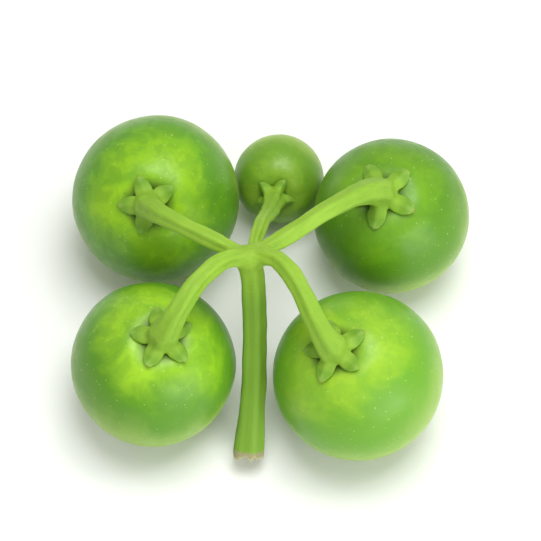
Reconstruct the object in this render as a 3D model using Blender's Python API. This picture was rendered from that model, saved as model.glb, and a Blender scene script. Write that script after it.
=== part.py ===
"""A picked cluster of black nightshade: five green berries on one forked stalk, lying on a surface.

Every berry hangs from its own pedicel, which ends in a five-lobed calyx over the berry's stem end.
The pedicels meet at a small head, and one peduncle runs from there between the two front berries.
Lengths are in metres, +Z is up, and the surface is at Z = 0.
"""

import math
from collections import namedtuple

import bmesh
import bpy
from mathutils import Matrix, Vector
from mathutils.geometry import interpolate_bezier

MM = 0.001

# Berries. The foot is the spot below a berry's middle, counted from the spot below the head.
# The stem end leans away from upright by lean, towards lean_to. Headings are in degrees from
# +X towards +Y. A stem leaves the head towards its heading, rising at its climb.
Berry = namedtuple("Berry", "name diameter foot lean lean_to colour stem")
Stem = namedtuple("Stem", "heading climb radius calyx_reach calyx_turn")
MID_GREEN = (0.17, 0.42, 0.05, 1.0)
LIGHT_GREEN = (0.27, 0.52, 0.06, 1.0)
YELLOW_GREEN = (0.36, 0.58, 0.09, 1.0)
BERRIES = (
    Berry(
        name="berry_front_left",
        diameter=9.1 * MM,
        foot=(-5.35 * MM, -3.3 * MM),
        lean=12,
        lean_to=-45,
        colour=MID_GREEN,
        stem=Stem(heading=188, climb=25, radius=0.5 * MM, calyx_reach=2.0 * MM, calyx_turn=20),
    ),
    Berry(
        name="berry_front_right",
        diameter=9.4 * MM,
        foot=(5.9 * MM, -4.1 * MM),
        lean=20,
        lean_to=206,
        colour=LIGHT_GREEN,
        stem=Stem(heading=-4, climb=32, radius=0.5 * MM, calyx_reach=2.0 * MM, calyx_turn=55),
    ),
    Berry(
        name="berry_back_left",
        diameter=9.5 * MM,
        foot=(-5.4 * MM, 7.2 * MM),
        lean=36,
        lean_to=-95,
        colour=LIGHT_GREEN,
        stem=Stem(heading=152, climb=4, radius=0.47 * MM, calyx_reach=1.9 * MM, calyx_turn=5),
    ),
    Berry(
        name="berry_back_right",
        diameter=8.8 * MM,
        foot=(7.95 * MM, 6.3 * MM),
        lean=17,
        lean_to=234,
        colour=MID_GREEN,
        stem=Stem(heading=30, climb=6, radius=0.5 * MM, calyx_reach=2.2 * MM, calyx_turn=40),
    ),
    Berry(
        name="berry_back_middle",
        diameter=5.2 * MM,
        foot=(1.6 * MM, 9.8 * MM),
        lean=58,
        lean_to=262,
        colour=YELLOW_GREEN,
        stem=Stem(heading=78, climb=-10, radius=0.38 * MM, calyx_reach=1.4 * MM, calyx_turn=30),
    ),
)
BERRY_SEGMENTS = 32
BERRY_RINGS = 18
SQUAT = 0.03
BASIN_DEPTH = 0.45 * MM
BASIN_WIDTH = 1.3 * MM
RESTING_CUT = 0.07 * MM
BERRY_ROUGHNESS = 0.35

# Stalk
HEAD_HEIGHT = 10.2 * MM
HEAD_RADIUS = 0.85 * MM
HEAD_SPREAD = 0.35 * MM
PEDICEL_FLARE = 1.7
PEDICEL_BEND = 0.4
PEDICEL_SLANT = 0.5
PEDICEL_SEAT = 0.9 * MM
PEDICEL_POINTS = 14
PEDUNCLE_RADIUS = 0.66 * MM
PEDUNCLE_CUT_RADIUS = 0.92 * MM
PEDUNCLE_CUT = Vector((-0.15, -7.2, 1.0)) * MM
PEDUNCLE_TOP_PULL = Vector((0.4, -1.6, -3.2)) * MM
PEDUNCLE_CUT_PULL = Vector((0.3, 2.0, 2.2)) * MM
PEDUNCLE_POINTS = 16
STALK_SIDES = 10
STALK_COLOUR = (0.40, 0.60, 0.17, 1.0)
STALK_ROUGHNESS = 0.55

# Calyx
SEPALS = 5
CALYX_CUP = 0.56
CALYX_THICKNESS = 0.65 * MM
CALYX_GAP = 0.3 * MM
CALYX_TIP_LIFT = 0.15 * MM
CALYX_SEGMENTS = 40
CALYX_RINGS = 9
SEPAL_POINT = 1.15
COLLAR_HEIGHT = 0.55 * MM
COLLAR_WIDTH = 0.9 * MM

WELD = 0.001 * MM
SMOOTH_UP_TO = math.radians(40)


def clear_scene():
    for obj in list(bpy.data.objects):
        bpy.data.objects.remove(obj)


def make_material(name, colour, roughness):
    material = bpy.data.materials.new(name)
    material.use_nodes = True
    shader = material.node_tree.nodes["Principled BSDF"]
    shader.inputs["Base Color"].default_value = colour
    shader.inputs["Roughness"].default_value = roughness
    shader.inputs["Metallic"].default_value = 0.0
    return material


def make_object(name, mesh):
    obj = bpy.data.objects.new(name, mesh)
    bpy.context.scene.collection.objects.link(obj)
    return obj


def mesh_from(bm, name):
    bmesh.ops.recalc_face_normals(bm, faces=bm.faces[:])
    mesh = bpy.data.meshes.new(name)
    bm.to_mesh(mesh)
    bm.free()
    return mesh


def shade_round(mesh):
    mesh.shade_smooth()
    mesh.set_sharp_from_angle(angle=SMOOTH_UP_TO)


def direction(heading, climb):
    """The unit vector towards a heading, rising at an angle, both in degrees."""
    heading, climb = math.radians(heading), math.radians(climb)
    level = math.cos(climb)
    return Vector((level * math.cos(heading), level * math.sin(heading), math.sin(climb)))


def stem_axis(berry):
    """The unit vector from a berry's middle to its stem end."""
    return direction(berry.lean_to, 90 - berry.lean)


def skin_distance(radius, polar):
    """How far the skin lies from a berry's middle, at an angle from its stem end."""
    off_axis = radius * polar / BASIN_WIDTH
    basin = BASIN_DEPTH * math.exp(-off_axis * off_axis)
    return radius * (1 - SQUAT * math.cos(polar) ** 2) - basin


def turned_berry(berry):
    """A berry round the origin, with its stem end and the basin there at +Z."""
    bm = bmesh.new()
    bmesh.ops.create_uvsphere(
        bm, u_segments=BERRY_SEGMENTS, v_segments=BERRY_RINGS, radius=1.0
    )
    for vert in bm.verts:
        polar = vert.co.angle(Vector((0, 0, 1)))
        vert.co *= skin_distance(berry.diameter / 2, polar)
    return bm


def berry_placement(berry, bm):
    """The matrix that leans a berry and sinks it into the surface by the resting cut."""
    turn = stem_axis(berry).to_track_quat("Z", "Y").to_matrix()
    lowest = min((turn @ vert.co).z for vert in bm.verts)
    middle = Vector((*berry.foot, -lowest - RESTING_CUT))
    return Matrix.Translation(middle) @ turn.to_4x4()


def flatten_underside(bm, placement):
    """Cuts off what lies below the surface and closes the cut with one flat face."""
    back = placement.inverted()
    cut = bmesh.ops.bisect_plane(
        bm,
        geom=bm.verts[:] + bm.edges[:] + bm.faces[:],
        dist=WELD,
        plane_co=back @ Vector((0, 0, 0)),
        plane_no=back.to_3x3() @ Vector((0, 0, -1)),
        clear_outer=True,
    )
    rim = [part for part in cut["geom_cut"] if isinstance(part, bmesh.types.BMEdge)]
    bmesh.ops.contextual_create(bm, geom=rim)


def build_berry(berry):
    """Adds one berry and returns it with the matrix that places it."""
    bm = turned_berry(berry)
    placement = berry_placement(berry, bm)
    flatten_underside(bm, placement)
    mesh = mesh_from(bm, berry.name)
    shade_round(mesh)
    mesh.materials.append(make_material(berry.name, berry.colour, BERRY_ROUGHNESS))
    obj = make_object(berry.name, mesh)
    obj.location = placement.to_translation()
    obj.rotation_euler = placement.to_euler()
    return obj, placement


def tube(name, points, radii):
    """A closed round tube through the points, with its own radius at each."""
    curve = bpy.data.curves.new(name, "CURVE")
    curve.dimensions = "3D"
    curve.bevel_depth = 1.0
    curve.bevel_resolution = STALK_SIDES // 2 - 2
    curve.use_fill_caps = True
    spline = curve.splines.new("POLY")
    spline.points.add(len(points) - 1)
    for target, point, radius in zip(spline.points, points, radii):
        target.co = (*point, 1.0)
        target.radius = radius
    guide = make_object(name, curve)
    graph = bpy.context.evaluated_depsgraph_get()
    bm = bmesh.new()
    bm.from_mesh(bpy.data.meshes.new_from_object(guide.evaluated_get(graph)))
    bpy.data.objects.remove(guide)
    bmesh.ops.remove_doubles(bm, verts=bm.verts[:], dist=WELD)
    return make_object(name, mesh_from(bm, name))


def swelling_radii(start, end, count):
    """Radii that stay near start and swell to end over the last stretch."""
    return [start + (end - start) * (i / (count - 1)) ** 4 for i in range(count)]


def pedicel(berry, placement):
    """The arching stalk of one berry, from the head into the collar of its calyx."""
    seat = placement @ Vector((0, 0, skin_distance(berry.diameter / 2, 0) + PEDICEL_SEAT))
    leaving = direction(berry.stem.heading, berry.stem.climb)
    start = Vector((0, 0, HEAD_HEIGHT)) + leaving * HEAD_SPREAD
    arriving = stem_axis(berry) + (start - seat).normalized() * PEDICEL_SLANT
    reach = (seat - start).length * PEDICEL_BEND
    points = interpolate_bezier(
        start,
        start + leaving * reach,
        seat + arriving.normalized() * reach,
        seat,
        PEDICEL_POINTS,
    )
    radius = berry.stem.radius
    radii = swelling_radii(radius, radius * PEDICEL_FLARE, PEDICEL_POINTS)
    return tube(f"pedicel_of_{berry.name}", points, radii)


def peduncle():
    """The main stalk, from the head down to its flared cut end."""
    top = Vector((0, 0, HEAD_HEIGHT))
    points = interpolate_bezier(
        top,
        top + PEDUNCLE_TOP_PULL,
        PEDUNCLE_CUT + PEDUNCLE_CUT_PULL,
        PEDUNCLE_CUT,
        PEDUNCLE_POINTS,
    )
    radii = swelling_radii(PEDUNCLE_RADIUS, PEDUNCLE_CUT_RADIUS, PEDUNCLE_POINTS)
    return tube("peduncle", points, radii)


def sepal_outline(heading, turn):
    """The calyx rim's share of its full reach: 1 at a sepal's tip, the cup's at a notch."""
    width = 2 * math.pi / SEPALS
    across = abs((heading - turn) % width / width - 0.5) * 2
    return CALYX_CUP + (1 - CALYX_CUP) * (1 - across**SEPAL_POINT)


def calyx(berry, placement):
    """A thin disc over the berry's shoulder, drawn out into sepals and up into a collar."""
    radius = berry.diameter / 2
    turn = math.radians(berry.stem.calyx_turn)
    bm = bmesh.new()
    bmesh.ops.create_uvsphere(
        bm, u_segments=CALYX_SEGMENTS, v_segments=CALYX_RINGS, radius=1.0
    )
    for vert in bm.verts:
        heading = math.atan2(vert.co.y, vert.co.x)
        out = min(1.0, math.hypot(vert.co.x, vert.co.y)) * sepal_outline(heading, turn)
        along_skin = berry.stem.calyx_reach * out
        polar = along_skin / radius
        collar = COLLAR_HEIGHT * math.exp(-((along_skin / COLLAR_WIDTH) ** 2))
        distance = skin_distance(radius, polar) + CALYX_GAP + CALYX_TIP_LIFT * out**4
        distance += CALYX_THICKNESS * (1 + vert.co.z) / 2 + collar * max(0.0, vert.co.z)
        flat = distance * math.sin(polar)
        vert.co = (flat * math.cos(heading), flat * math.sin(heading), distance * math.cos(polar))
    bm.transform(placement)
    name = f"calyx_of_{berry.name}"
    return make_object(name, mesh_from(bm, name))


def head():
    """The small swollen knot where the pedicels meet the peduncle."""
    bm = bmesh.new()
    bmesh.ops.create_icosphere(
        bm,
        subdivisions=2,
        radius=HEAD_RADIUS,
        matrix=Matrix.Translation((0, 0, HEAD_HEIGHT)),
    )
    return make_object("stalk", mesh_from(bm, "stalk"))


def build_stalk(placed_berries):
    """Joins the head, the peduncle, the pedicels and the calyxes into one solid."""
    grown = [peduncle()]
    for berry, placement in placed_berries:
        grown.append(pedicel(berry, placement))
        grown.append(calyx(berry, placement))
    branches = bpy.data.collections.new("branches")
    for obj in grown:
        branches.objects.link(obj)
    stalk = head()
    union = stalk.modifiers.new("join branches", "BOOLEAN")
    union.operation = "UNION"
    union.operand_type = "COLLECTION"
    union.collection = branches
    graph = bpy.context.evaluated_depsgraph_get()
    mesh = bpy.data.meshes.new_from_object(stalk.evaluated_get(graph))
    mesh.name = "stalk"
    mesh.materials.clear()
    mesh.materials.append(make_material("stalk", STALK_COLOUR, STALK_ROUGHNESS))
    shade_round(mesh)
    stalk.modifiers.clear()
    stalk.data = mesh
    for obj in grown:
        bpy.data.objects.remove(obj)
    bpy.data.collections.remove(branches)
    return stalk


def centre_over_origin(nodes):
    """Hangs every node from one empty, with the whole cluster's middle over the origin."""
    bpy.context.view_layer.update()
    corners = [obj.matrix_world @ vert.co for obj in nodes for vert in obj.data.vertices]
    middle_x = (min(c.x for c in corners) + max(c.x for c in corners)) / 2
    middle_y = (min(c.y for c in corners) + max(c.y for c in corners)) / 2
    cluster = make_object("cluster", None)
    cluster.location = (-middle_x, -middle_y, 0)
    for obj in nodes:
        obj.parent = cluster


def main():
    clear_scene()
    placed_berries = []
    nodes = []
    for berry in BERRIES:
        obj, placement = build_berry(berry)
        placed_berries.append((berry, placement))
        nodes.append(obj)
    nodes.append(build_stalk(placed_berries))
    centre_over_origin(nodes)


main()
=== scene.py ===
"""Looks of a picked cluster of black nightshade: five green berries on one forked stalk.

The berries get satin, mottled skins and the stalk grows as one ribbed body, from its torn end over
the head and the arching pedicels into five calyxes. Lengths are in metres and +Z is up.
"""

import math
import random
from collections import namedtuple

import bmesh
import bpy
from bpy.props import FloatProperty, FloatVectorProperty, IntProperty, PointerProperty
from mathutils import Matrix, Vector, noise
from mathutils.geometry import interpolate_bezier
from mathutils.kdtree import KDTree


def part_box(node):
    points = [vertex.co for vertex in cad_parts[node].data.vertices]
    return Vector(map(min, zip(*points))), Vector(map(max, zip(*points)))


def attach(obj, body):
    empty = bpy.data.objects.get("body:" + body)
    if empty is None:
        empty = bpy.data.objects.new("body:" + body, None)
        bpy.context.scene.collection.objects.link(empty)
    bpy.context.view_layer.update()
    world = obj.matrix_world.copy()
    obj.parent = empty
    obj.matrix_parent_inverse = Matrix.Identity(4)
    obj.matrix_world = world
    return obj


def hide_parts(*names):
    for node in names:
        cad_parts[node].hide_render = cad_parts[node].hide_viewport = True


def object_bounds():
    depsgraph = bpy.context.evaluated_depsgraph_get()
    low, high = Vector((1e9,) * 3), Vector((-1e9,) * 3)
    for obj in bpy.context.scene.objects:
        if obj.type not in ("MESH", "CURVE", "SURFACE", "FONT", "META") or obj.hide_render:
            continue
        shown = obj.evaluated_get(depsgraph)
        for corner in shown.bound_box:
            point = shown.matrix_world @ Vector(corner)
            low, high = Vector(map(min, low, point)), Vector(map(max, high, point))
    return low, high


bl_info = {
    "name": "Nightshade Berry Cluster",
    "version": (1, 0, 0),
    "blender": (4, 5, 0),
    "location": "3D View > Sidebar > Nightshade",
    "description": "Models a picked cluster of green nightshade berries on its stalk",
    "category": "Add Mesh",
}

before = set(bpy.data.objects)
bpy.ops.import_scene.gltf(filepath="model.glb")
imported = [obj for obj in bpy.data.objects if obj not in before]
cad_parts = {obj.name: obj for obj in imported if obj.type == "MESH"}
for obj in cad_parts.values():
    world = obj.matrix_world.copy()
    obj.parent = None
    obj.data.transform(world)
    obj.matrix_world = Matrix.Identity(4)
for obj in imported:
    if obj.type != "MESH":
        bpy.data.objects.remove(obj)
CAD_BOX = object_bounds()
MM = 0.001

# Each berry's own values, in millimetres and degrees. The stem end leans away from upright by
# lean, towards lean_to, and the stem leaves the head towards its heading, rising at its climb.
# Headings go from +X towards +Y.
Berry = namedtuple(
    "Berry",
    "name diameter lean lean_to stem_heading stem_climb stem_radius calyx_reach calyx_turn"
    " flesh crown shade",
)
# Of each berry's colours, the crown colour is partly its own paler green round the stem end and
# partly painted light on its top.
BERRIES = (
    Berry(
        name="berry_front_left",
        diameter=9.1,
        lean=12,
        lean_to=-45,
        stem_heading=188,
        stem_climb=25,
        stem_radius=0.5,
        calyx_reach=2.0,
        calyx_turn=20,
        flesh=(0.090, 0.265, 0.009),
        crown=(0.31, 0.56, 0.022),
        shade=(0.080, 0.245, 0.012),
    ),
    Berry(
        name="berry_front_right",
        diameter=9.4,
        lean=20,
        lean_to=206,
        stem_heading=-4,
        stem_climb=32,
        stem_radius=0.5,
        calyx_reach=2.0,
        calyx_turn=55,
        flesh=(0.120, 0.33, 0.017),
        crown=(0.31, 0.53, 0.028),
        shade=(0.125, 0.33, 0.021),
    ),
    Berry(
        name="berry_back_left",
        diameter=9.5,
        lean=36,
        lean_to=-95,
        stem_heading=152,
        stem_climb=4,
        stem_radius=0.47,
        calyx_reach=1.9,
        calyx_turn=5,
        flesh=(0.165, 0.41, 0.015),
        crown=(0.27, 0.50, 0.012),
        shade=(0.055, 0.20, 0.010),
    ),
    Berry(
        name="berry_back_right",
        diameter=8.8,
        lean=17,
        lean_to=234,
        stem_heading=30,
        stem_climb=6,
        stem_radius=0.5,
        calyx_reach=2.2,
        calyx_turn=40,
        flesh=(0.095, 0.26, 0.010),
        crown=(0.16, 0.35, 0.014),
        shade=(0.080, 0.22, 0.010),
    ),
    Berry(
        name="berry_back_middle",
        diameter=5.2,
        lean=58,
        lean_to=262,
        stem_heading=78,
        stem_climb=-10,
        stem_radius=0.38,
        calyx_reach=1.4,
        calyx_turn=30,
        flesh=(0.19, 0.36, 0.025),
        crown=(0.25, 0.42, 0.035),
        shade=(0.11, 0.27, 0.018),
    ),
)

# Berry skin. Fineness is how often the noise changes over one radius.
SKIN_STEPS = 96
PROFILE_STEPS = 60
PROFILE_CROWDING = 1.25
SQUAT = 0.03
BASIN_DEPTH = 0.45 * MM
BASIN_WIDTH = 1.3 * MM
LUMP_FINENESS = (1.1, 2.6)
LUMP_HEIGHTS = (0.014, 0.005)
SHOULDER_HEIGHT = 0.05 * MM
SHOULDER_WIDTH = 0.8 * MM
SHOULDER_CHANGE = 0.7
SHOULDER_FINENESS = 3
SCAR_HEIGHT = 0.07 * MM
SCAR_WIDTH = 0.16 * MM
NOISE_SHIFT = 50

# Stalk routes
HEAD_FROM_FRONT_LEFT = Vector((5.35, 3.3, 0)) * MM
HEAD_HEIGHT = 10.2 * MM
HEAD_SPREAD = 0.35 * MM
HEAD_SUBDIVISIONS = 4
PEDICEL_BEND = 0.4
PEDICEL_SLANT = 0.5
PEDICEL_SEAT = 0.9 * MM
PEDICEL_SINK = 0.1 * MM
PEDICEL_SWELLING = 4
PEDUNCLE_CUT = Vector((-0.15, -7.2, 1.0)) * MM
PEDUNCLE_TOP_PULL = Vector((0.4, -1.6, -3.2)) * MM
PEDUNCLE_CUT_PULL = Vector((0.3, 2.0, 2.2)) * MM
ROUTE_POINTS = 48
STALK_BEVEL = 6

# Stalk surface. The voxel remesh has a smallest voxel of 0.1 mm, so it works at an enlarged scale.
ENLARGED = 1000
VOXEL = 0.064 * MM
SOFTENING = 0.5
SOFTENING_ROUNDS = 4
FILLET_ROUNDS = 45
FILLET_HEAD_REACH = 1.9 * MM
FILLET_SEAT_REACH = 1.35 * MM
FILLET_ABOVE_SKIN = 0.36 * MM
RIDGES = 5
RIDGE_HEIGHT = 0.045 * MM
RIDGE_FADE = 0.12
STALK_LUMP = 0.06 * MM
STALK_LUMP_SIZE = 1.1 * MM
PEDUNCLE_FADE = 0.25
CUT_ZONE = 0.75 * MM
CUT_CURVE = 3
CUT_TEAR = 0.3 * MM
CUT_TEAR_GRAIN = 0.3 * MM
CUT_HOLLOW = 0.22 * MM
CUT_HOLLOW_WIDTH = 0.6

# Calyx. A spot of the stalk within a calyx's near reach and near height counts as part of it.
SEPALS = 5
CALYX_SEGMENTS = 120
CALYX_RINGS = 28
CALYX_CUP = 0.34
CALYX_BLADE = 0.26 * MM
CALYX_THINNING = 0.5
CALYX_EDGE = 8
CALYX_GAP = 0.03 * MM
CALYX_TIP_LIFT = 0.2 * MM
CALYX_TIP_CURVE = 3
CALYX_NEAR_REACH = 1.15
CALYX_NEAR_HEIGHT = 1.3 * MM
SEPAL_POINT = 1.2
SEPAL_BELLY = 0.66
SEPAL_REACH_CHANGE = 0.09
SEPAL_LIFT_CHANGE = 0.6
LEAF_START = 0.45
COLLAR_HEIGHT = 0.6 * MM
COLLAR_WIDTH = 0.85 * MM
MIDRIB_HEIGHT = 0.07 * MM
MIDRIB_WIDTH = 0.16
MIDRIB_BASE = 0.4 * CALYX_BLADE
MIDRIB_FADE_IN = 0.5
MIDRIB_FADE_OUT = 1 / 3
SEPAL_MARGIN = 0.78

# What the stalk's mesh stores for its material: its leaf, main and cut masks, the place of a spot
# on its stem or sepal, and the sepals' veins
STALK_ATTRIBUTES = {
    "stalk_parts": "FLOAT_VECTOR",
    "stem_place": "FLOAT_VECTOR",
    "sepal_veins": "FLOAT",
}
STEM_TEXTURE_LENGTH = 2
SEPAL_TEXTURE_STEP = 3

# Colour layers, each laid over the ones before it. A layer goes from nothing to its share as its
# mask goes from start to end. Of a berry's masks, level is the height on its axis in radii, which
# wanders a little, and polar is the angle from its stem end. Of the stalk's, leaf goes from 0 on
# the stems to 1 on the sepals, and along goes from 0 at the head to 2 at the end of a stem.
Layer = namedtuple("Layer", "mask start end share colour")
SKIN_LAYERS = (
    # Crown: partly the skin's own paler green round the stem end, partly painted light on the top.
    Layer("level", 0.35, 1.0, 1.0, "crown"),
    # Shade: painted shade lower down; the next layer lays the same colour in random patches as
    # mottle.
    Layer("level", 0.95, 0.15, 0.85, "shade"),
    Layer("patches", 0.0, 1.0, 0.34, "shade"),
    # Under: painted bounce light from the floor on the underside.
    Layer("level", 0.62, -0.4, 0.8, "under"),
    Layer("dots", 0.0, 1.0, 0.45, "speckle"),
    # Pit: painted shade in the recess under the calyx, over skin that is a deeper green there.
    Layer("polar", 0.36, 0.2, 0.85, "pit_shade"),
    Layer("polar", 3.09, 3.115, 1.0, "scar"),
)
PEDICEL_LAYERS = (Layer("along", 0.3, 1.8, 0.35, "sepal"),)
STALK_LAYERS = (
    Layer("leaf", 0.0, 0.5, 0.9, "sepal"),
    Layer("veins", 0.3, 1.0, 0.6, "margin"),
    Layer("leaf", 0.85, 1.0, 0.8, "tip"),
    Layer("clouds", 0.0, 1.0, 0.25, "peduncle"),
    Layer("lines", 0.45, 0.75, 0.35, "sepal"),
    Layer("cut", 0.25, 0.7, 1.0, "cut"),
    Layer("cut", 0.85, 1.0, 0.7, "pith"),
)
LEVEL_WANDER = 0.3

# Texture scales. A berry's are per radius, the stalk's per millimetre and the floor's per metre.
SKIN_CLOUDS = 1.6
SKIN_PATCHES = 5.0
SKIN_DOTS = 16.0
SKIN_DOT_SIZE = 0.3
SKIN_GRAIN = 26.0
STALK_CLOUDS = 0.9
STALK_FIBRES = (9.0, 9.0, 2.0)
STALK_GRAIN = 9.0
FLOOR_GRAIN = 900.0

# Where a noise texture counts as nothing and as full
NOISE_SPAN = (0.3, 0.7)

# Surfaces. The roughness goes from smoother to rougher with the patches, and light_reach is how
# far red, green and blue light go, as shares of the light depth.
Surface = namedtuple("Surface", "smoother rougher bump bump_depth ior specular light_reach")
BERRY_SURFACE = Surface(
    smoother=0.05,
    rougher=0.07,
    bump=0.35,
    bump_depth=0.02 * MM,
    ior=1.45,
    specular=0.34,
    light_reach=(0.5, 1.0, 0.15),
)
STALK_SURFACE = Surface(
    smoother=0.05,
    rougher=0.1,
    bump=0.5,
    bump_depth=0.04 * MM,
    ior=1.42,
    specular=0.3,
    light_reach=(0.6, 1.0, 0.2),
)
DOT_RELIEF = 0.6
GRAIN_RELIEF = 0.5
FLOOR_GRAIN_SHARE = 0.04
FLOOR_ROUGHNESS = 0.7
FLOOR_SPECULAR = 0.2
WHITE = (1.0, 1.0, 1.0)

# Stage
CAMERA_RISE = math.radians(60)
CAMERA_LENS = 200
CAMERA_SENSOR = 36
CAMERA_NEAR = 10 * MM
VIEW_WIDTH = 30 * MM
FLOOR_SIZE = 0.5
KEY_SPOT = Vector((20, 15, 170)) * MM
FRONT_SPOT = Vector((115, -145, 45)) * MM

UP = Vector((0, 0, 1))
WELD = 0.002 * MM


def length(name, description, millimetres):
    """A length property, whose default is given in millimetres."""
    return FloatProperty(
        name=name, description=description, default=millimetres * MM, unit="LENGTH"
    )


def angle(name, description, degrees):
    """An angle property, whose default is given in degrees."""
    return FloatProperty(
        name=name, description=description, default=math.radians(degrees), subtype="ANGLE"
    )


def colour(name, description, rgb):
    """A colour property."""
    return FloatVectorProperty(
        name=name, description=description, default=rgb, subtype="COLOR", min=0, max=1
    )


def share(name, description, default):
    """A number from 0 to 1."""
    return FloatProperty(
        name=name, description=description, default=default, subtype="FACTOR", min=0, max=1
    )


def berry_settings(berry):
    """A PropertyGroup class that holds one berry's sizes and colours, as its defaults."""
    fields = {
        "diameter": length("Diameter", "Widest width of the berry", berry.diameter),
        "lean": angle("Lean", "How far the stem end leans from upright", berry.lean),
        "lean_to": angle("Leans To", "Heading that the stem end leans to", berry.lean_to),
        "stem_heading": angle("Stem Heading", "Where the stem leaves for", berry.stem_heading),
        "stem_climb": angle("Stem Climb", "How steeply the stem leaves", berry.stem_climb),
        "stem_radius": length("Stem Radius", "Half the stem's width", berry.stem_radius),
        "calyx_reach": length("Calyx Reach", "From its middle to a tip", berry.calyx_reach),
        "calyx_turn": angle("Calyx Turn", "Heading of a notch of the calyx", berry.calyx_turn),
        "flesh": colour("Flesh", "Main green of the skin", berry.flesh),
        # The crown colour is partly the skin's own paler green and partly painted light on the
        # berry's top.
        "crown": colour("Crown", "Lighter green round the stem end", berry.crown),
        # The shade colour is painted shade on the lower half, and is also laid in random patches
        # as the skin's own mottle.
        "shade": colour("Shade", "Deeper green of the lower half", berry.shade),
    }
    title = "".join(word.capitalize() for word in berry.name.split("_"))
    return type(f"{title}Settings", (bpy.types.PropertyGroup,), {"__annotations__": fields})


class SkinSettings(bpy.types.PropertyGroup):
    """What all five berry skins share."""

    roughness: share("Roughness", "Roughness of the waxy skin", 0.34)
    translucence: share("Translucence", "Share of the light that goes through the flesh", 0.3)
    light_depth: length("Light Depth", "How far light goes in the flesh", 1.4)
    speckle: colour("Speckle", "Colour of the fine pale dots", (0.50, 0.68, 0.22))
    scar: colour("Scar", "Colour of the dry dot at the far end", (0.20, 0.13, 0.05))
    # The pit colour is painted shade in the recess under the calyx, over skin that is a deeper
    # green there.
    pit_shade: colour("Pit", "Colour of the skin under the calyx", (0.045, 0.085, 0.010))
    # The under colour is painted light: bounce light from the white floor on the berry's
    # underside.
    under: colour("Under", "Paler green of the underside", (0.32, 0.47, 0.075))


class StalkSettings(bpy.types.PropertyGroup):
    """The stalk's sizes and colours."""

    head_radius: length("Head Radius", "Half the width of the knot at the fork", 0.82)
    peduncle_radius: length("Peduncle Radius", "Half the main stalk's width", 0.66)
    cut_radius: length("Cut Radius", "Half the width of the flared cut end", 0.9)
    flare: FloatProperty(
        name="Flare", description="How much a pedicel widens to its calyx", default=1.65
    )
    pedicel: colour("Pedicel", "Pale green of the pedicels and the head", (0.27, 0.46, 0.038))
    peduncle: colour("Peduncle", "Greyer green of the main stalk", (0.168, 0.318, 0.030))
    sepal: colour("Sepal", "Green of the calyx's lobes", (0.14, 0.30, 0.020))
    margin: colour("Sepal Margin", "Pale green of the lobes' edges", (0.30, 0.46, 0.10))
    tip: colour("Sepal Tip", "Drier green of the lobes' tips", (0.24, 0.22, 0.05))
    cut: colour("Cut", "Dried brown of the cut end", (0.30, 0.27, 0.15))
    pith: colour("Pith", "Paler middle of the cut end", (0.46, 0.44, 0.26))
    roughness: share("Roughness", "Roughness of the stalk's skin", 0.54)
    translucence: share("Translucence", "Share of the light that goes into the stalk", 0.15)
    light_depth: length("Light Depth", "How far light goes in the stalk", 0.5)


class StageSettings(bpy.types.PropertyGroup):
    """The floor and the light."""

    floor: colour("Floor", "Colour of the floor", (0.86, 0.87, 0.85))
    fill: FloatProperty(name="Fill", description="Strength of the light all round", default=0.52)
    key_power: FloatProperty(
        name="Key Power", description="Power of the soft light above", default=0.25, unit="POWER"
    )
    key_size: length("Key Size", "Width of the soft light above", 110)
    front_power: FloatProperty(
        name="Front Power", description="Power of the low front light", default=0.28, unit="POWER"
    )
    front_size: length("Front Size", "Width of the low front light", 150)
    seed: IntProperty(name="Seed", description="Start of all random draws", default=5, min=0)


def settings():
    """All the settings of the cluster."""
    return bpy.context.scene.nightshade


# Shapes shared by the pieces


def bell(value, width):
    """1 at zero, falling smoothly to nothing over about twice the width."""
    return math.exp(-((value / width) ** 2))


def ease(value):
    """A smooth step from 0 to 1."""
    value = min(1.0, max(0.0, value))
    return value * value * (3 - 2 * value)


def direction(heading, climb):
    """The unit vector towards a heading, rising at an angle."""
    level = math.cos(climb)
    return Vector((level * math.cos(heading), level * math.sin(heading), math.sin(climb)))


def stem_axis(berry):
    """The unit vector from a berry's middle to its stem end."""
    return direction(berry.lean_to, math.pi / 2 - berry.lean)


def skin_distance(radius, polar):
    """How far the skin lies from a berry's middle, at an angle from its stem end."""
    basin = BASIN_DEPTH * bell(radius * polar, BASIN_WIDTH)
    return radius * (1 - SQUAT * math.cos(polar) ** 2) - basin


def plain_skin(radius):
    """A berry round the origin, spun from half of its outline, with its stem end at +Z."""
    bm = bmesh.new()
    outline = []
    for step in range(PROFILE_STEPS + 1):
        polar = math.pi * (step / PROFILE_STEPS) ** PROFILE_CROWDING
        reach = skin_distance(radius, polar)
        outline.append(bm.verts.new((reach * math.sin(polar), 0, reach * math.cos(polar))))
    edges = [bm.edges.new(pair) for pair in zip(outline, outline[1:])]
    bmesh.ops.spin(
        bm,
        geom=outline + edges,
        cent=(0, 0, 0),
        axis=(0, 0, 1),
        angle=2 * math.pi,
        steps=SKIN_STEPS,
        use_merge=True,
    )
    bmesh.ops.remove_doubles(bm, verts=bm.verts[:], dist=WELD)
    bmesh.ops.recalc_face_normals(bm, faces=bm.faces[:])
    return bm


def corners(points):
    """The lowest and highest corners of the box round some points."""
    points = list(points)
    low = Vector(min(point[axis] for point in points) for axis in range(3))
    high = Vector(max(point[axis] for point in points) for axis in range(3))
    return low, high


def placement(name):
    """The matrix that leans a berry and sets it where its CAD node stands."""
    berry = getattr(settings(), name)
    turn = stem_axis(berry).to_track_quat("Z", "Y").to_matrix()
    bm = plain_skin(berry.diameter / 2)
    low, high = corners(turn @ vert.co for vert in bm.verts)
    bm.free()
    node_low, node_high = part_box(name)
    middle = (node_low + node_high - low - high) / 2
    middle.z = node_high.z - high.z
    return Matrix.Translation(middle) @ turn.to_4x4()


def draws(name):
    """A row of random draws that belongs to one piece."""
    return random.Random(f"{name} {settings().stage.seed}")


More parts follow.
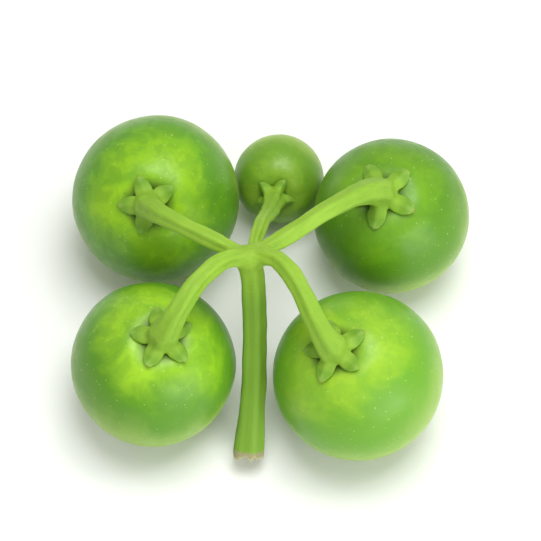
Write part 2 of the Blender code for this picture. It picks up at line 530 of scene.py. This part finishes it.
def make_object(name, data):
    """An object in the scene that shows a mesh, a curve, a light or a camera."""
    obj = bpy.data.objects.new(name, data)
    bpy.context.scene.collection.objects.link(obj)
    return obj


def object_from(bm, name):
    """A smooth object from a finished bmesh."""
    mesh = bpy.data.meshes.new(name)
    bm.to_mesh(mesh)
    bm.free()
    mesh.shade_smooth()
    return make_object(name, mesh)


def evaluated_mesh(obj):
    """The object's mesh with its modifiers applied."""
    graph = bpy.context.evaluated_depsgraph_get()
    return bpy.data.meshes.new_from_object(obj.evaluated_get(graph))


def subdivide(obj, levels):
    """Rounds off a mesh with a subdivision modifier."""
    finish = obj.modifiers.new("finish", "SUBSURF")
    finish.levels = levels
    finish.render_levels = levels


# Materials


def feed(tree, node, inputs):
    """Links a node's inputs to sockets, or gives them values."""
    for key, value in inputs.items():
        if isinstance(value, bpy.types.NodeSocket):
            tree.links.new(value, node.inputs[key])
        else:
            node.inputs[key].default_value = value


def add_node(tree, kind, inputs=None, **fields):
    """Adds a node, sets its fields and feeds its inputs."""
    node = tree.nodes.new(kind)
    for field, value in fields.items():
        setattr(node, field, value)
    feed(tree, node, inputs or {})
    return node


def opaque(rgb):
    """A colour with full alpha."""
    return (*rgb, 1.0)


def mix(tree, factor, first, second):
    """The colour between two colours."""
    # The node takes its colours at inputs 6 and 7 and gives one at output 2.
    inputs = {0: factor, 6: first, 7: second}
    return add_node(tree, "ShaderNodeMix", inputs, data_type="RGBA").outputs[2]


def span(tree, value, start, end, low=0.0, high=1.0):
    """Goes smoothly from low to high as a value goes from start to end."""
    inputs = {"Value": value, "From Min": start, "From Max": end, "To Min": low, "To Max": high}
    node = add_node(tree, "ShaderNodeMapRange", inputs, interpolation_type="SMOOTHSTEP")
    return node.outputs["Result"]


def calculate(tree, operation, *values):
    """The result of one calculation with numbers."""
    node = add_node(tree, "ShaderNodeMath", dict(enumerate(values)), operation=operation)
    return node.outputs[0]


def grain(tree, where, scale, detail):
    """Plain noise, from 0 to 1."""
    inputs = {"Vector": where, "Scale": scale, "Detail": detail}
    return add_node(tree, "ShaderNodeTexNoise", inputs).outputs["Fac"]


def lay(tree, base, layers, masks, colours):
    """Lays coloured layers over a base colour."""
    for layer in layers:
        factor = span(tree, masks[layer.mask], layer.start, layer.end, 0.0, layer.share)
        base = mix(tree, factor, base, opaque(colours[layer.colour]))
    return base


def new_mask_group(name, numbers):
    """An empty node group that makes a mask from a place and numbers, given by their defaults."""
    group = bpy.data.node_groups.new(name, "ShaderNodeTree")
    group.interface.new_socket("Vector", in_out="INPUT", socket_type="NodeSocketVector")
    for label, default in numbers.items():
        socket = group.interface.new_socket(label, in_out="INPUT", socket_type="NodeSocketFloat")
        socket.default_value = default
    group.interface.new_socket("Mask", in_out="OUTPUT", socket_type="NodeSocketFloat")
    return group, add_node(group, "NodeGroupInput").outputs, add_node(group, "NodeGroupOutput")


def mottle_group():
    """Cloudy patches with finer ones in them, as a mask from 0 to 1."""
    name = "Mottle"
    if name in bpy.data.node_groups:
        return bpy.data.node_groups[name]
    group, given, result = new_mask_group(name, {"Scale": 2.0})
    inputs = {
        "Vector": given["Vector"],
        "Scale": given["Scale"],
        "Detail": 4.0,
        "Roughness": 0.55,
        "Distortion": 0.6,
    }
    clouds = add_node(group, "ShaderNodeTexNoise", inputs).outputs["Fac"]
    feed(group, result, {"Mask": span(group, clouds, *NOISE_SPAN)})
    return group


def speckle_group():
    """Fine round dots of uneven size, as a mask from 0 to 1."""
    name = "Speckle"
    if name in bpy.data.node_groups:
        return bpy.data.node_groups[name]
    group, given, result = new_mask_group(name, {"Scale": 20.0, "Dot Size": 0.25})
    inputs = {"Vector": given["Vector"], "Scale": given["Scale"]}
    cells = add_node(group, "ShaderNodeTexVoronoi", inputs).outputs
    own_value = add_node(group, "ShaderNodeSeparateColor", {0: cells["Color"]}).outputs[0]
    size = calculate(group, "MULTIPLY", given["Dot Size"], own_value)
    feed(group, result, {"Mask": span(group, cells["Distance"], 0.0, size, 1.0, 0.0)})
    return group


def group_mask(tree, group, inputs):
    """The mask that a node group makes."""
    return add_node(tree, "ShaderNodeGroup", inputs, node_tree=group).outputs["Mask"]


def new_material(name):
    """A material with its node tree and its main shader."""
    material = bpy.data.materials.new(name)
    material.use_nodes = True
    tree = material.node_tree
    return material, tree, tree.nodes["Principled BSDF"]


def finish_surface(tree, shader, surface, group, patches, relief):
    """Gives a material its gloss, its fine relief and the light that goes into it."""
    smooth = group.roughness - surface.smoother
    rough = group.roughness + surface.rougher
    bump = {"Strength": surface.bump, "Distance": surface.bump_depth, "Height": relief}
    inputs = {
        "Roughness": span(tree, patches, 0.0, 1.0, smooth, rough),
        "Normal": add_node(tree, "ShaderNodeBump", bump).outputs["Normal"],
        "IOR": surface.ior,
        "Specular IOR Level": surface.specular,
        "Subsurface Weight": group.translucence,
        "Subsurface Radius": surface.light_reach,
        "Subsurface Scale": group.light_depth,
    }
    feed(tree, shader, inputs)


def berry_space(tree, place, radius):
    """A place on a berry, from its middle, in radii, with its stem end at +Z."""
    inputs = {
        "Vector": add_node(tree, "ShaderNodeTexCoord").outputs["Object"],
        "Location": place.to_translation(),
        "Rotation": place.to_euler(),
        "Scale": (radius, radius, radius),
    }
    return add_node(tree, "ShaderNodeMapping", inputs, vector_type="TEXTURE").outputs["Vector"]


def off_axis(tree, local):
    """How far a place is from its berry's axis."""
    inputs = {0: local, 1: (1.0, 1.0, 0.0)}
    level = add_node(tree, "ShaderNodeVectorMath", inputs, operation="MULTIPLY").outputs["Vector"]
    return add_node(tree, "ShaderNodeVectorMath", {0: level}, operation="LENGTH").outputs["Value"]


def berry_masks(tree, local):
    """The masks of a berry's colour layers."""
    height = add_node(tree, "ShaderNodeSeparateXYZ", {0: local}).outputs["Z"]
    clouds = group_mask(tree, mottle_group(), {"Vector": local, "Scale": SKIN_CLOUDS})
    wander = calculate(tree, "MULTIPLY_ADD", clouds, LEVEL_WANDER, -LEVEL_WANDER / 2)
    dots = {"Vector": local, "Scale": SKIN_DOTS, "Dot Size": SKIN_DOT_SIZE}
    return {
        "level": calculate(tree, "ADD", height, wander),
        "polar": calculate(tree, "ARCTAN2", off_axis(tree, local), height),
        "patches": group_mask(tree, mottle_group(), {"Vector": local, "Scale": SKIN_PATCHES}),
        "dots": group_mask(tree, speckle_group(), dots),
    }


def berry_material(name, place):
    """Mottled waxy skin: lighter round the stem end, partly its own paler crown and partly painted
    top light, with painted shade lower down, painted floor bounce on the underside, painted shade
    in the pit under the calyx, fine pale dots and a dry far dot.
    """
    skin = settings().skin
    berry = getattr(settings(), name)
    colours = {
        "crown": berry.crown,
        "shade": berry.shade,
        "under": skin.under,
        "speckle": skin.speckle,
        "pit_shade": skin.pit_shade,
        "scar": skin.scar,
    }
    material, tree, shader = new_material(name)
    local = berry_space(tree, place, berry.diameter / 2)
    masks = berry_masks(tree, local)
    base = lay(tree, opaque(berry.flesh), SKIN_LAYERS, masks, colours)
    feed(tree, shader, {"Base Color": base})
    fine = grain(tree, local, SKIN_GRAIN, detail=3.0)
    relief = calculate(tree, "MULTIPLY_ADD", masks["dots"], DOT_RELIEF, fine)
    finish_surface(tree, shader, BERRY_SURFACE, skin, masks["patches"], relief)
    return material


def stored(tree, label, output):
    """A value that the mesh stores for its material."""
    return add_node(tree, "ShaderNodeAttribute", attribute_name=label).outputs[output]


def stalk_masks(tree, spot):
    """The masks of the stalk's colour layers, most of which its mesh stores."""
    stem = stored(tree, "stem_place", "Vector")
    parts = add_node(tree, "ShaderNodeSeparateXYZ", {0: stored(tree, "stalk_parts", "Vector")})
    fibres = add_node(tree, "ShaderNodeMapping", {"Vector": stem, "Scale": STALK_FIBRES})
    lines = {"Vector": fibres.outputs["Vector"], "Scale": 1.0, "Detail": 3.0, "Roughness": 0.6}
    return {
        "leaf": parts.outputs["X"],
        "main": parts.outputs["Y"],
        "cut": parts.outputs["Z"],
        "along": add_node(tree, "ShaderNodeSeparateXYZ", {0: stem}).outputs["Z"],
        "veins": stored(tree, "sepal_veins", "Fac"),
        "clouds": group_mask(tree, mottle_group(), {"Vector": spot, "Scale": STALK_CLOUDS}),
        "lines": add_node(tree, "ShaderNodeTexNoise", lines).outputs["Fac"],
    }


def stalk_material():
    """Ribbed green stalk: pale pedicels, a greyer peduncle, green lobes and a dry cut end."""
    stalk = settings().stalk
    labels = ("peduncle", "sepal", "margin", "tip", "cut", "pith")
    colours = {label: getattr(stalk, label) for label in labels}
    material, tree, shader = new_material("stalk")
    where = add_node(tree, "ShaderNodeTexCoord").outputs["Object"]
    enlarge = {"Vector": where, "Scale": (1 / MM,) * 3}
    spot = add_node(tree, "ShaderNodeMapping", enlarge).outputs["Vector"]
    masks = stalk_masks(tree, spot)
    base = lay(tree, opaque(stalk.pedicel), PEDICEL_LAYERS, masks, colours)
    base = mix(tree, masks["main"], base, opaque(stalk.peduncle))
    base = lay(tree, base, STALK_LAYERS, masks, colours)
    feed(tree, shader, {"Base Color": base})
    fine = grain(tree, spot, STALK_GRAIN, detail=2.0)
    relief = calculate(tree, "MULTIPLY_ADD", fine, GRAIN_RELIEF, masks["lines"])
    finish_surface(tree, shader, STALK_SURFACE, stalk, masks["clouds"], relief)
    return material


def floor_material():
    """Plain pale matt board."""
    material, tree, shader = new_material("floor")
    where = add_node(tree, "ShaderNodeTexCoord").outputs["Object"]
    fine = grain(tree, where, FLOOR_GRAIN, detail=2.0)
    paler = span(tree, fine, *NOISE_SPAN, 0.0, FLOOR_GRAIN_SHARE)
    inputs = {
        "Base Color": mix(tree, paler, opaque(settings().stage.floor), opaque(WHITE)),
        "Roughness": FLOOR_ROUGHNESS,
        "Specular IOR Level": FLOOR_SPECULAR,
    }
    feed(tree, shader, inputs)
    return material


# Berries


def shape_berry(bm, name):
    """Gives a plain skin its low lumps, its shoulder round the calyx and its far dot."""
    berry = getattr(settings(), name)
    radius = berry.diameter / 2
    shift = Vector((1, 1, 1)) * draws(name).uniform(-NOISE_SHIFT, NOISE_SHIFT)
    for vert in bm.verts:
        way = vert.co.normalized()
        polar = way.angle(UP)
        uneven = 1 + SHOULDER_CHANGE * noise.noise(way * SHOULDER_FINENESS + shift)
        from_shoulder = radius * polar - berry.calyx_reach
        change = SHOULDER_HEIGHT * uneven * bell(from_shoulder, SHOULDER_WIDTH)
        change += SCAR_HEIGHT * bell(radius * (math.pi - polar), SCAR_WIDTH)
        for fineness, height in zip(LUMP_FINENESS, LUMP_HEIGHTS):
            change += radius * height * noise.noise(way * fineness + shift)
        vert.co += way * change


def set_down(bm, place):
    """Places a berry and flattens the small spot that it rests on."""
    for vert in bm.verts:
        vert.co = place @ vert.co
        vert.co.z = max(0.0, vert.co.z)


class NIGHTSHADE_OT_berries(bpy.types.Operator):
    """Model the five berry skins and their materials"""

    bl_idname = "nightshade.berries"
    bl_label = "Berries"

    def execute(self, context):
        for berry in BERRIES:
            place = placement(berry.name)
            bm = plain_skin(getattr(settings(), berry.name).diameter / 2)
            shape_berry(bm, berry.name)
            set_down(bm, place)
            skin = object_from(bm, f"{berry.name}_skin")
            subdivide(skin, 1)
            skin.data.materials.append(berry_material(berry.name, place))
            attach(skin, "root")
            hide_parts(berry.name)
        return {"FINISHED"}


# Stalk

Route = namedtuple("Route", "name points radii sides")


def head_spot():
    """The middle of the knot where the pedicels meet the peduncle."""
    low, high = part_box("berry_front_left")
    spot = (low + high) / 2 + HEAD_FROM_FRONT_LEFT
    spot.z = HEAD_HEIGHT
    return spot


def swelling_radii(start, end, count):
    """Radii that stay near start and swell to end over the last stretch."""
    return [start + (end - start) * (i / (count - 1)) ** PEDICEL_SWELLING for i in range(count)]


def route_way(points, index):
    """The unit vector along a route at one of its points."""
    before = points[max(0, index - 1)]
    after = points[min(len(points) - 1, index + 1)]
    return (after - before).normalized()


def side_vectors(points, last_side):
    """A vector square to the route at each point, carried back from its end without twisting."""
    sides = []
    side = last_side
    for index in reversed(range(len(points))):
        along = route_way(points, index)
        side = (side - along * side.dot(along)).normalized()
        sides.append(side)
    return sides[::-1]


def pedicel_route(name, place):
    """One berry's arching stem, from the head through the calyx to the skin."""
    berry = getattr(settings(), name)
    radius = berry.diameter / 2
    seat = place @ Vector((0, 0, skin_distance(radius, 0) + PEDICEL_SEAT))
    end = place @ Vector((0, 0, skin_distance(radius, 0) - PEDICEL_SINK))
    leaving = direction(berry.stem_heading, berry.stem_climb)
    start = head_spot() + leaving * HEAD_SPREAD
    arriving = stem_axis(berry) + (start - seat).normalized() * PEDICEL_SLANT
    reach = (seat - start).length * PEDICEL_BEND
    pull = seat + arriving.normalized() * reach
    points = interpolate_bezier(start, start + leaving * reach, pull, seat, ROUTE_POINTS)
    wide = berry.stem_radius * settings().stalk.flare
    radii = swelling_radii(berry.stem_radius, wide, ROUTE_POINTS)
    points.append(end)
    radii.append(radii[-1])
    sides = side_vectors(points, place.to_3x3() @ Vector((1, 0, 0)))
    return Route(name, points, radii, sides)


def peduncle_route():
    """The main stalk, from the head down to its flared cut end."""
    top = head_spot()
    cut = Vector((top.x, top.y, 0)) + PEDUNCLE_CUT
    stalk = settings().stalk
    points = interpolate_bezier(
        top, top + PEDUNCLE_TOP_PULL, cut + PEDUNCLE_CUT_PULL, cut, ROUTE_POINTS
    )
    radii = swelling_radii(stalk.peduncle_radius, stalk.cut_radius, ROUTE_POINTS)
    return Route("peduncle", points, radii, side_vectors(points, Vector((1, 0, 0))))


def add_tube(bm, route):
    """Adds a closed round tube along a route."""
    curve = bpy.data.curves.new(route.name, "CURVE")
    curve.dimensions = "3D"
    curve.bevel_depth = 1.0
    curve.bevel_resolution = STALK_BEVEL
    curve.use_fill_caps = True
    spline = curve.splines.new("POLY")
    spline.points.add(len(route.points) - 1)
    for target, point, radius in zip(spline.points, route.points, route.radii):
        target.co = (*point, 1.0)
        target.radius = radius
    guide = make_object(route.name, curve)
    mesh = evaluated_mesh(guide)
    bm.from_mesh(mesh)
    bpy.data.meshes.remove(mesh)
    bpy.data.objects.remove(guide)


def add_head(bm):
    """Adds the knot where the branches meet."""
    bmesh.ops.create_icosphere(
        bm,
        subdivisions=HEAD_SUBDIVISIONS,
        radius=settings().stalk.head_radius,
        matrix=Matrix.Translation(head_spot()),
    )


Sepal = namedtuple("Sepal", "reach lift")
Calyx = namedtuple("Calyx", "radius reach turn place back sepals")


def sepals_of(name):
    """Each sepal's own share of the reach and of the tips' lift."""
    draw = draws(f"calyx of {name}")
    return [
        Sepal(
            reach=1 - draw.uniform(0, SEPAL_REACH_CHANGE),
            lift=1 + draw.uniform(-SEPAL_LIFT_CHANGE, SEPAL_LIFT_CHANGE),
        )
        for _ in range(SEPALS)
    ]


def sepal_at(heading, turn):
    """Which sepal lies at a heading, and how far across it: 0 at its middle, 1 at a notch."""
    width = 2 * math.pi / SEPALS
    place = (heading - turn) % (2 * math.pi) / width
    return int(place) % SEPALS, abs(place % 1 - 0.5) * 2


def sepal_outline(across, sepal):
    """The calyx rim's share of its full reach: a pointed, slightly rounded lobe."""
    blade = (1 - across**SEPAL_POINT) ** SEPAL_BELLY
    return CALYX_CUP + (sepal.reach - CALYX_CUP) * blade


def calyx_of(name, place):
    """One berry's calyx: its sizes, where it sits, and the way back to the berry's own axes."""
    berry = getattr(settings(), name)
    return Calyx(
        radius=berry.diameter / 2,
        reach=berry.calyx_reach,
        turn=berry.calyx_turn,
        place=place,
        back=place.inverted(),
        sepals=sepals_of(name),
    )


def add_calyx(bm, calyx):
    """Adds a thin five-lobed calyx that hugs the berry and rises to the pedicel in the middle."""
    disc = bmesh.ops.create_uvsphere(
        bm, u_segments=CALYX_SEGMENTS, v_segments=CALYX_RINGS, radius=1.0
    )
    for vert in disc["verts"]:
        heading = math.atan2(vert.co.y, vert.co.x)
        index, across = sepal_at(heading, calyx.turn)
        sepal = calyx.sepals[index]
        flat_out = min(1.0, math.hypot(vert.co.x, vert.co.y))
        out = flat_out * sepal_outline(across, sepal)
        along_skin = calyx.reach * out
        polar = along_skin / calyx.radius
        level = math.copysign(math.sqrt(1 - flat_out**CALYX_EDGE), vert.co.z)
        distance = skin_distance(calyx.radius, polar) + CALYX_GAP
        distance += CALYX_TIP_LIFT * sepal.lift * out**CALYX_TIP_CURVE
        distance += COLLAR_HEIGHT * bell(along_skin, COLLAR_WIDTH) * max(0.0, level)
        distance += CALYX_BLADE * (1 - CALYX_THINNING * flat_out) * (1 + level) / 2
        flat = distance * math.sin(polar)
        spot = (flat * math.cos(heading), flat * math.sin(heading), distance * math.cos(polar))
        vert.co = calyx.place @ Vector(spot)


def fused_mesh(bm):
    """Melts closed shapes that cross each other into one smooth skin."""
    bm.transform(Matrix.Scale(ENLARGED, 4))
    grown = object_from(bm, "grown")
    remesh = grown.modifiers.new("fuse", "REMESH")
    remesh.mode = "VOXEL"
    remesh.voxel_size = VOXEL * ENLARGED
    mesh = evaluated_mesh(grown)
    mesh.transform(Matrix.Scale(1 / ENLARGED, 4))
    bpy.data.objects.remove(grown)
    return mesh


def soften(bm, verts, rounds):
    """Evens out some points of a mesh."""
    for _ in range(rounds):
        bmesh.ops.smooth_vert(
            bm, verts=verts, factor=SOFTENING, use_axis_x=True, use_axis_y=True, use_axis_z=True
        )


def near_seat(spot, calyx):
    """Whether a spot is where a pedicel widens into its calyx."""
    seat = Vector((0, 0, skin_distance(calyx.radius, 0) + PEDICEL_SEAT))
    local = calyx.back @ spot
    if (local - seat).length > FILLET_SEAT_REACH:
        return False
    above = local.length - skin_distance(calyx.radius, local.angle(UP))
    return above > FILLET_ABOVE_SKIN


def fillet_joints(mesh, calyxes):
    """Takes the remesh's grain off, and rounds the corners where branches meet."""
    bm = bmesh.new()
    bm.from_mesh(mesh)
    soften(bm, bm.verts[:], SOFTENING_ROUNDS)
    head = head_spot()
    joints = [vert for vert in bm.verts if (vert.co - head).length < FILLET_HEAD_REACH]
    for calyx in calyxes:
        joints += [vert for vert in bm.verts if near_seat(vert.co, calyx)]
    soften(bm, joints, FILLET_ROUNDS)
    bm.to_mesh(mesh)
    bm.free()


def route_index(routes):
    """A search tree over all the points of the routes, and what each of them is."""
    entries = [(route, index) for route in routes for index in range(len(route.points))]
    tree = KDTree(len(entries))
    for number, (route, index) in enumerate(entries):
        tree.insert(route.points[index], number)
    tree.balance()
    return tree, entries


# A spot on a stem: its route, its share of the way along it, the way that the route runs there,
# and its offset and its heading across it
StemSpot = namedtuple("StemSpot", "route share along off heading")

# A spot on a calyx: how much it counts as leaf, how much as vein or margin, how far its midrib
# raises it, and where its texture is read
SepalSpot = namedtuple("SepalSpot", "leaf veins rise texture")
OFF_SEPALS = SepalSpot(leaf=0.0, veins=0.0, rise=0.0, texture=Vector((0, 0, 0)))


def stem_spot(tree, entries, spot):
    """A spot's place on the nearest route."""
    _, number, _ = tree.find(spot)
    route, index = entries[number]
    along = route_way(route.points, index)
    off = spot - route.points[index]
    off -= along * off.dot(along)
    side = route.sides[index]
    heading = math.atan2(off.dot(along.cross(side)), off.dot(side))
    return StemSpot(route, index / (len(route.points) - 1), along, off, heading)


def calyx_spot(calyx, local, along_skin, height):
    """A spot's place on a calyx, from its place on the berry."""
    index, across = sepal_at(math.atan2(local.y, local.x), calyx.turn)
    out = along_skin / (calyx.reach * sepal_outline(across, calyx.sepals[index]))
    bare = LEAF_START * calyx.reach
    leaf = ease((along_skin - bare) / (calyx.reach - bare))
    margin = ease((out - SEPAL_MARGIN) / (1 - SEPAL_MARGIN))
    midrib = bell(across * along_skin / calyx.reach, MIDRIB_WIDTH)
    on_top = ease((height - MIDRIB_BASE) / MIDRIB_BASE)
    ends = ease(out / MIDRIB_FADE_IN) * ease((1 - out) / MIDRIB_FADE_OUT)
    return SepalSpot(
        leaf=leaf,
        veins=max(margin, midrib) * leaf,
        rise=MIDRIB_HEIGHT * midrib * on_top * ends,
        texture=Vector((across * along_skin / MM, index * SEPAL_TEXTURE_STEP, out)),
    )


def sepal_spot(calyxes, spot):
    """A spot's place on the calyx that it is part of, if there is one."""
    for calyx in calyxes:
        local = calyx.back @ spot
        polar = local.angle(UP)
        height = local.length - skin_distance(calyx.radius, polar)
        along_skin = calyx.radius * polar
        if along_skin <= calyx.reach * CALYX_NEAR_REACH and height <= CALYX_NEAR_HEIGHT:
            return calyx_spot(calyx, local, along_skin, height)
    return OFF_SEPALS


def stem_relief(stem, spot):
    """How far the ribs and the lumps of a stem raise a spot."""
    ribs = RIDGE_HEIGHT * math.cos(RIDGES * stem.heading) * ease(stem.share / RIDGE_FADE)
    return ribs + STALK_LUMP * noise.noise(spot / STALK_LUMP_SIZE)


def torn_end(stem, spot):
    """How much a spot counts as cut end, and how the torn grain and the hollow move it."""
    if stem.route.name != "peduncle":
        return 0.0, Vector((0, 0, 0))
    cut = ease(1 + (spot - stem.route.points[-1]).dot(stem.along) / CUT_ZONE)
    tear = CUT_TEAR * noise.noise(stem.off / CUT_TEAR_GRAIN)
    hollow = CUT_HOLLOW * bell(stem.off.length, stem.route.radii[-1] * CUT_HOLLOW_WIDTH)
    return cut, stem.along * (tear - hollow) * cut**CUT_CURVE


def finish_stalk(mesh, routes, calyxes):
    """Raises the ribs and midribs, roughens the cut, and stores what the material reads."""
    tree, entries = route_index(routes)
    for label, kind in STALK_ATTRIBUTES.items():
        mesh.attributes.new(label, kind, "POINT")
    parts, places, veins = (mesh.attributes[label].data for label in STALK_ATTRIBUTES)
    normals = [vert.normal.copy() for vert in mesh.vertices]
    for vert, normal, part, place, vein in zip(mesh.vertices, normals, parts, places, veins):
        stem = stem_spot(tree, entries, vert.co)
        sepal = sepal_spot(calyxes, vert.co)
        main = ease(stem.share / PEDUNCLE_FADE) if stem.route.name == "peduncle" else 0.0
        cut, pull = torn_end(stem, vert.co)
        on_stem = Vector((stem.off.x / MM, stem.off.y / MM, stem.share * STEM_TEXTURE_LENGTH))
        part.vector = (sepal.leaf, main, cut)
        place.vector = on_stem.lerp(sepal.texture, sepal.leaf)
        vein.value = sepal.veins
        change = sepal.rise + stem_relief(stem, vert.co) * (1 - sepal.leaf)
        vert.co += normal * change + pull
        vert.co.z = max(0.0, vert.co.z)


class NIGHTSHADE_OT_stalk(bpy.types.Operator):
    """Grow the stalk, its head, its pedicels and its calyxes as one body"""

    bl_idname = "nightshade.stalk"
    bl_label = "Stalk"

    def execute(self, context):
        places = {berry.name: placement(berry.name) for berry in BERRIES}
        calyxes = [calyx_of(name, place) for name, place in places.items()]
        routes = [peduncle_route()]
        routes += [pedicel_route(name, place) for name, place in places.items()]
        bm = bmesh.new()
        add_head(bm)
        for calyx in calyxes:
            add_calyx(bm, calyx)
        for route in routes:
            add_tube(bm, route)
        mesh = fused_mesh(bm)
        fillet_joints(mesh, calyxes)
        finish_stalk(mesh, routes, calyxes)
        skin = make_object("stalk_skin", mesh)
        mesh.materials.clear()
        mesh.materials.append(stalk_material())
        mesh.shade_smooth()
        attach(skin, "root")
        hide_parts("stalk")
        return {"FINISHED"}


# Stage


def aim(obj, target):
    """Turns a camera or a light to look at a point."""
    way = target - obj.location
    obj.rotation_euler = way.to_track_quat("-Z", "Y").to_euler()


def add_camera(middle):
    """Adds the camera in front of the cluster, looking down at its middle."""
    camera = bpy.data.cameras.new("camera")
    camera.lens = CAMERA_LENS
    camera.sensor_width = CAMERA_SENSOR
    camera.clip_start = CAMERA_NEAR
    obj = make_object("camera", camera)
    distance = VIEW_WIDTH * CAMERA_LENS / CAMERA_SENSOR
    obj.location = middle + direction(-math.pi / 2, CAMERA_RISE) * distance
    aim(obj, middle)
    bpy.context.scene.camera = obj


def add_light(name, power, size, spot, target):
    """Adds a square soft light."""
    light = bpy.data.lights.new(name, "AREA")
    light.energy = power
    light.size = size
    obj = make_object(name, light)
    obj.location = spot
    aim(obj, target)


def add_fill():
    """White light from all round."""
    world = bpy.data.worlds.new("fill")
    world.use_nodes = True
    tree = world.node_tree
    inputs = {"Color": opaque(WHITE), "Strength": settings().stage.fill}
    feed(tree, tree.nodes["Background"], inputs)
    bpy.context.scene.world = world


def add_floor():
    """Adds the floor as one flat face."""
    bm = bmesh.new()
    bmesh.ops.create_grid(bm, x_segments=1, y_segments=1, size=FLOOR_SIZE / 2)
    floor = object_from(bm, "floor")
    floor.data.materials.append(floor_material())


class NIGHTSHADE_OT_stage(bpy.types.Operator):
    """Set up the floor, the light and the camera"""

    bl_idname = "nightshade.stage"
    bl_label = "Stage"

    def execute(self, context):
        middle = (CAD_BOX[0] + CAD_BOX[1]) / 2
        add_floor()
        add_fill()
        stage = settings().stage
        add_light("key", stage.key_power, stage.key_size, KEY_SPOT, middle)
        add_light("front", stage.front_power, stage.front_size, FRONT_SPOT, middle)
        add_camera(middle)
        context.scene.view_settings.view_transform = "Standard"
        return {"FINISHED"}


class NightshadeSettings(bpy.types.PropertyGroup):
    """All the sizes and colours of the cluster."""

    skin: PointerProperty(name="Skin", type=SkinSettings)
    stalk: PointerProperty(name="Stalk", type=StalkSettings)
    stage: PointerProperty(name="Stage", type=StageSettings)


BERRY_CLASSES = {berry.name: berry_settings(berry) for berry in BERRIES}
for berry_name, berry_class in BERRY_CLASSES.items():
    label = berry_name.replace("_", " ").title()
    NightshadeSettings.__annotations__[berry_name] = PointerProperty(name=label, type=berry_class)


class NIGHTSHADE_PT_cluster(bpy.types.Panel):
    """Lists the pieces of the cluster and their settings"""

    bl_label = "Nightshade Berry Cluster"
    bl_space_type = "VIEW_3D"
    bl_region_type = "UI"
    bl_category = "Nightshade"

    def draw(self, context):
        for operator in OPERATORS:
            self.layout.operator(operator.bl_idname)
        for name in ("skin", "stalk", "stage", *BERRY_CLASSES):
            group = getattr(settings(), name)
            box = self.layout.box()
            box.label(text=name.replace("_", " ").title())
            for field in group.__annotations__:
                box.prop(group, field)


OPERATORS = (NIGHTSHADE_OT_berries, NIGHTSHADE_OT_stalk, NIGHTSHADE_OT_stage)
CLASSES = (
    SkinSettings,
    StalkSettings,
    StageSettings,
    *BERRY_CLASSES.values(),
    NightshadeSettings,
    *OPERATORS,
    NIGHTSHADE_PT_cluster,
)


def register():
    for each in CLASSES:
        bpy.utils.register_class(each)
    bpy.types.Scene.nightshade = PointerProperty(type=NightshadeSettings)


def unregister():
    del bpy.types.Scene.nightshade
    for each in reversed(CLASSES):
        bpy.utils.unregister_class(each)


def write_sizes():
    """Updates the view layer."""
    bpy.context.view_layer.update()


def main():
    register()
    bpy.ops.nightshade.berries()
    bpy.ops.nightshade.stalk()
    bpy.ops.nightshade.stage()
    write_sizes()


if __name__ == "__main__":
    main()
